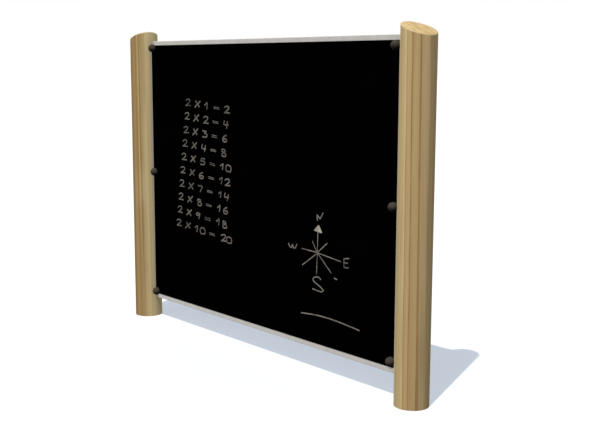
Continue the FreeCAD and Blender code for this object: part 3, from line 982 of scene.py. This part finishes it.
def dome_nut():
    """A closed nut on the origin with its dome upwards."""
    hexagon = {"vertices": NUT_SIDES, "radius": NUT_CORNER, "depth": NUT_HEX_HEIGHT}
    bore = {"vertices": NUT_FACETS, "radius": NUT_BORE_RADIUS, "depth": 2 * NUT_BORE_DEPTH}
    middle = (0, 0, NUT_HEX_HEIGHT / 2)
    turn = (0, 0, math.pi / NUT_SIDES)
    deselect()
    bpy.ops.mesh.primitive_cylinder_add(**hexagon, location=middle, rotation=turn)
    nut = named("dome_nut_model")
    settle(nut)
    combined(nut, turned("nut_turning", nut_turning(), NUT_FACETS), "INTERSECT")
    combined(nut, turned("nut_dome", nut_dome(), NUT_FACETS), "UNION")
    deselect()
    bpy.ops.mesh.primitive_cylinder_add(**bore)
    combined(nut, named("nut_bore"), "DIFFERENCE")
    clean(nut)
    stood_out(nut, -math.pi / 2, NUT_LOW.y)
    return nut


def dome_nuts(steel):
    """One piece of six nuts, each on the axis of a bolt cover."""
    model = dome_nut()
    nuts = []
    for place in PLACES:
        low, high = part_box(place + "_snap_cap")
        middle = (low + high) / 2
        nuts.append(copied(model, place + "_dome_nut", Vector((middle.x, 0, middle.z))))
    bpy.data.objects.remove(model)
    deselect()
    for nut in nuts:
        nut.select_set(True)
    bpy.context.view_layer.objects.active = nuts[0]
    bpy.ops.object.join()
    mount(named("polished_dome_nuts"), steel, "stainless_steel", "dome_nuts")


# Chalk: the strokes of each sign, in shares of its width and height

GLYPHS = {
    "0": [[(0.5, 1.0), (0.0, 1.0), (0.05, 0.0), (0.5, 0.0), (1.0, 0.0), (0.95, 1.0), (0.45, 1.0)]],
    "1": [[(0.05, 0.62), (0.6, 1.05)], [(0.6, 1.05), (0.55, 0.5), (0.45, 0.0)]],
    "2": [[(0.05, 0.8), (0.3, 1.1), (0.95, 1.0), (0.75, 0.45), (0.05, 0.0)],
          [(0.05, 0.0), (0.5, 0.05), (1.05, 0.02)]],
    "3": [[(0.1, 0.95), (0.85, 0.98)], [(0.85, 0.98), (0.4, 0.6)],
          [(0.4, 0.6), (1.0, 0.6), (0.95, 0.0), (0.5, -0.02), (0.05, 0.08)]],
    "4": [[(0.3, 1.05), (0.0, 0.45), (0.4, 0.34), (1.0, 0.4)], [(0.85, 0.95), (0.75, 0.3), (0.65, -0.15)]],
    "5": [[(0.95, 1.0), (0.25, 0.95)], [(0.25, 0.95), (0.2, 0.55)],
          [(0.2, 0.55), (0.95, 0.7), (0.95, 0.05), (0.5, -0.02), (0.05, 0.06)]],
    "6": [[(0.85, 1.0), (0.2, 0.85), (0.05, 0.05), (0.6, -0.05), (0.95, 0.2), (0.75, 0.55), (0.15, 0.4)]],
    "7": [[(0.05, 0.95), (0.9, 0.95)], [(0.9, 0.95), (0.75, 0.5), (0.45, -0.05)]],
    "8": [[(0.8, 0.85), (0.3, 1.15), (0.05, 0.7), (0.9, 0.45), (0.95, -0.05), (0.2, -0.1), (0.15, 0.35),
           (0.85, 0.8)]],
    "9": [[(0.85, 0.85), (0.3, 1.1), (0.05, 0.6), (0.5, 0.45), (0.85, 0.85)],
          [(0.85, 0.95), (0.75, 0.4), (0.6, -0.05)]],
    "x": [[(0.15, 1.0), (0.9, 0.05)], [(1.05, 1.05), (-0.05, -0.02)]],
    "=": [[(-0.05, 0.65), (0.5, 0.61), (1.0, 0.53)], [(-0.02, 0.4), (0.5, 0.36), (1.05, 0.29)]],
    "N": [[(0.1, 0.0), (0.05, 0.8)], [(0.05, 0.8), (0.55, 0.25)], [(0.55, 0.25), (1.1, 1.15)]],
    "E": [[(1.0, 1.05), (0.05, 0.95)], [(0.05, 0.95), (0.1, 0.0)], [(0.1, 0.0), (0.9, 0.08)],
          [(0.1, 0.5), (0.75, 0.55)]],
    "S": [[(0.95, 0.9), (0.8, 1.08), (0.1, 1.0), (0.0, 0.65), (0.6, 0.45), (1.3, 0.1)],
          [(1.3, 0.1), (1.15, -0.08), (0.5, -0.02), (-0.03, 0.0)]],
    "W": [[(-0.05, 0.9), (0.15, 0.0), (0.45, 0.0), (0.5, 0.75)],
          [(0.5, 0.75), (0.6, 0.0), (0.95, 0.0), (1.07, 1.15)]],
}
GLYPH_MIDDLE = 0.5

# Chalk: the compass rose, from its centre; each letter has a place, a width and a height
COMPASS_CENTRE = Vector((0.357, 0.4615))
COMPASS_RAYS = ((0.002, 0.082), (-0.003, -0.081), (0.130, -0.0135), (-0.088, 0.0045),
                (0.054, 0.0435), (-0.086, -0.0585), (-0.028, 0.0395), (0.077, -0.0645))
COMPASS_RAY_WEIGHT = 0.85
COMPASS_HEAD = ((-0.022, 0.081), (0.008, 0.106), (0.026, 0.076))
COMPASS_HEAD_RINGS = (0.1, 0.35, 0.6, 0.85)
COMPASS_LETTERS = {"N": (0.012, 0.134, 0.032, 0.028), "E": (0.157, -0.016, 0.028, 0.036),
                   "S": (-0.001, -0.118, 0.047, 0.047), "W": (-0.143, 0.007, 0.044, 0.018)}
COMPASS_DASH = ((0.092, -0.080), (0.110, -0.083))

# Chalk: the curved line below the compass rose
UNDERLINE = ((0.266, 0.217), (0.335, 0.2245), (0.42, 0.2255), (0.52, 0.219), (0.587, 0.212))


class Slate:
    """Collects chalk strokes as splines of one curve that lies on the board's face."""

    def __init__(self, name):
        self.name = name
        self.curve = bpy.data.curves.new(name, "CURVE")
        self.curve.dimensions = "3D"
        self.curve.bevel_depth = CHALK_WIDTH / 2
        self.curve.bevel_resolution = CHALK_EDGE_STEPS
        self.curve.resolution_u = CHALK_CURVE_STEPS
        self.curve.use_fill_caps = True
        self.hand = random.Random(CHALK_SEED)

    def stroke(self, points, weight=1.0):
        spline = self.curve.splines.new("NURBS")
        spline.points.add(len(points) - 1)
        for knot, (along, height) in zip(spline.points, points):
            shake = [self.hand.uniform(-CHALK_WOBBLE, CHALK_WOBBLE) for axis in range(2)]
            knot.co = (along + shake[0], 0, height + shake[1], 1)
            knot.radius = weight
        spline.order_u = CHALK_CURVE_ORDER
        spline.use_endpoint_u = True

    def glyph(self, sign, centre, width=GLYPH_WIDTH, height=GLYPH_HEIGHT, weight=1.0):
        for points in GLYPHS[sign]:
            shifts = [((u - GLYPH_MIDDLE) * width, (v - GLYPH_MIDDLE) * height) for u, v in points]
            self.stroke([(centre[0] + along, centre[1] + up) for along, up in shifts], weight)

    def piece(self):
        """The strokes as a mesh, pressed flat on the sheet."""
        deselect()
        lines = bpy.data.objects.new(self.name, self.curve)
        bpy.context.scene.collection.objects.link(lines)
        active(lines)
        bpy.ops.object.convert(target="MESH")
        piece = named(self.name)
        piece.scale = (1, 2 * CHALK_PROUD / CHALK_WIDTH, 1)
        piece.location = (0, SHEET_FACE, 0)
        settle(piece)
        clean(piece)
        smooth(piece)
        return piece


def table_line(slate, number):
    """One line of the times table, each sign a little lower than the last."""
    start = TABLE_START + TABLE_LINE_STEP * (number - 1)
    along = 0.0
    words = (str(TABLE_FACTOR), "x", str(number), "=", str(TABLE_FACTOR * number))
    for word, weight in zip(words, TABLE_WEIGHTS):
        for sign in word:
            slate.glyph(sign, start + Vector((along, along * TABLE_TILT)), weight=weight)
            along += TABLE_DIGIT_PITCH
        along += TABLE_PITCH - TABLE_DIGIT_PITCH
        if word == "=":
            along += TABLE_RESULT_DRIFT * (number - 1)


def times_table():
    slate = Slate("chalk_times_table")
    for number in range(1, TABLE_LINES + 1):
        table_line(slate, number)
    return slate.piece()


def compass_rose():
    slate = Slate("chalk_compass_rose")
    for ray in COMPASS_RAYS:
        slate.stroke([COMPASS_CENTRE, COMPASS_CENTRE + Vector(ray)], COMPASS_RAY_WEIGHT)
    slate.stroke([COMPASS_CENTRE + Vector(end) for end in COMPASS_DASH])
    for sign, (along, up, width, height) in COMPASS_LETTERS.items():
        slate.glyph(sign, COMPASS_CENTRE + Vector((along, up)), width, height)
    return slate.piece()


def arrow_head():
    """The compass needle's head, rubbed in with rings of strokes."""
    slate = Slate("chalk_arrow_head")
    head = [COMPASS_CENTRE + Vector(corner) for corner in COMPASS_HEAD]
    middle = sum(head, Vector((0, 0))) / len(head)
    for share in COMPASS_HEAD_RINGS:
        ring = [middle + (corner - middle) * share for corner in head]
        for first, second in zip(ring, ring[1:] + ring[:1]):
            slate.stroke([first, second])
    return slate.piece()


def underline():
    slate = Slate("chalk_underline")
    slate.stroke(UNDERLINE)
    return slate.piece()


def chalk_marks():
    faint = chalk("chalk_faint", CHALK_FAINT)
    plain = chalk("chalk_plain", CHALK_PLAIN)
    heavy = chalk("chalk_heavy", CHALK_HEAVY)
    drawn = {times_table: faint, compass_rose: plain, arrow_head: heavy, underline: plain}
    for draw, finish in drawn.items():
        mount(draw(), finish, "sheet_black")


# CAD pieces that keep their shape

def dress_frame(steel):
    dipped = galvanised()
    screws = plated()
    finishes = {"backing_board": laminate(), "writing_sheet": chalkboard()}
    for node in ("board_bolts", "nut_washers"):
        finishes[node] = steel
    for node in ("coach_screws", "coach_screw_washers"):
        finishes[node] = screws
    for place in PLACES:
        finishes[place + "_bracket"] = dipped
    for node, finish in finishes.items():
        dress(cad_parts[node], finish)


# Stage

def seen(wire):
    """1 for rays that show a surface as it is, 0 for those that only carry its light onwards."""
    names = ("Is Camera Ray", "Is Glossy Ray", "Is Transmission Ray")
    straight, mirrored, refracted = [wire.node("ShaderNodeLightPath", output=name) for name in names]
    return wire.math("MAXIMUM", wire.math("MAXIMUM", straight, mirrored), refracted)


def bare(tree):
    """A node tree without its first nodes."""
    tree.nodes.clear()
    return Wire(tree)


def floor():
    """A plain white floor that keeps the shadow and throws little light back up."""
    deselect()
    bpy.ops.mesh.primitive_plane_add(size=FLOOR_SIZE)
    piece = named("floor")
    material = bpy.data.materials.new("white_floor")
    material.use_nodes = True
    wire = bare(material.node_tree)
    glow = wire.node("ShaderNodeEmission", {}, {"Color": FLOOR_GLOW, "Strength": 1.0})
    shaded = wire.node("ShaderNodeBsdfDiffuse", {}, {"Color": WHITE})
    bounce = wire.node("ShaderNodeBsdfDiffuse", {}, {"Color": FLOOR_BOUNCE})
    shown = wire.node("ShaderNodeMixShader", {}, {0: FLOOR_SHADE_SHARE, 1: glow, 2: shaded})
    surface = wire.node("ShaderNodeMixShader", {}, {0: seen(wire), 1: bounce, 2: shown})
    wire.node("ShaderNodeOutputMaterial", {}, {"Surface": surface})
    dress(piece, material)


def sky():
    """Soft cool light all round, which shows as plain white."""
    world = bpy.data.worlds.new("studio")
    bpy.context.scene.world = world
    world.use_nodes = True
    wire = bare(world.node_tree)
    shown = wire.node("ShaderNodeBackground", {}, {"Color": WHITE, "Strength": 1.0})
    light = wire.node("ShaderNodeBackground", {}, {"Color": SKY_COLOUR, "Strength": SKY_STRENGTH})
    surface = wire.node("ShaderNodeMixShader", {}, {0: seen(wire), 1: light, 2: shown})
    wire.node("ShaderNodeOutputWorld", {}, {"Surface": surface})


def lamp(direction, strength, angle, colour):
    """A far lamp that shines from a direction, the softer the wider its angle."""
    deselect()
    bpy.ops.object.light_add(type="SUN", location=direction * LAMP_DISTANCE)
    made = bpy.context.object
    made.rotation_euler = direction.to_track_quat("Z", "Y").to_euler()
    made.data.energy = strength
    made.data.angle = angle
    made.data.color = colour


def camera():
    turn = (math.pi / 2 - CAMERA_PITCH, 0, CAMERA_YAW)
    deselect()
    bpy.ops.object.camera_add(location=CAMERA_PLACE, rotation=turn)
    eye = bpy.context.object
    eye.data.sensor_width = SENSOR_WIDTH
    eye.data.lens = SENSOR_WIDTH * CAMERA_FOCUS_PIXELS / IMAGE_WIDTH
    eye.data.shift_x = CAMERA_AXIS_OFFSET_PIXELS / IMAGE_WIDTH
    bpy.context.scene.camera = eye


def main():
    posts()
    covers()
    chalk_marks()
    steel = stainless()
    dome_nuts(steel)
    dress_frame(steel)
    floor()
    sky()
    lamp(SUN_DIRECTION, SUN_STRENGTH, SUN_ANGLE, SUN_COLOUR)
    lamp(FILL_DIRECTION, FILL_STRENGTH, FILL_ANGLE, FILL_COLOUR)
    lamp(BACK_DIRECTION, BACK_STRENGTH, BACK_ANGLE, BACK_COLOUR)
    camera()
    bpy.context.scene.view_settings.view_transform = "Standard"


main()
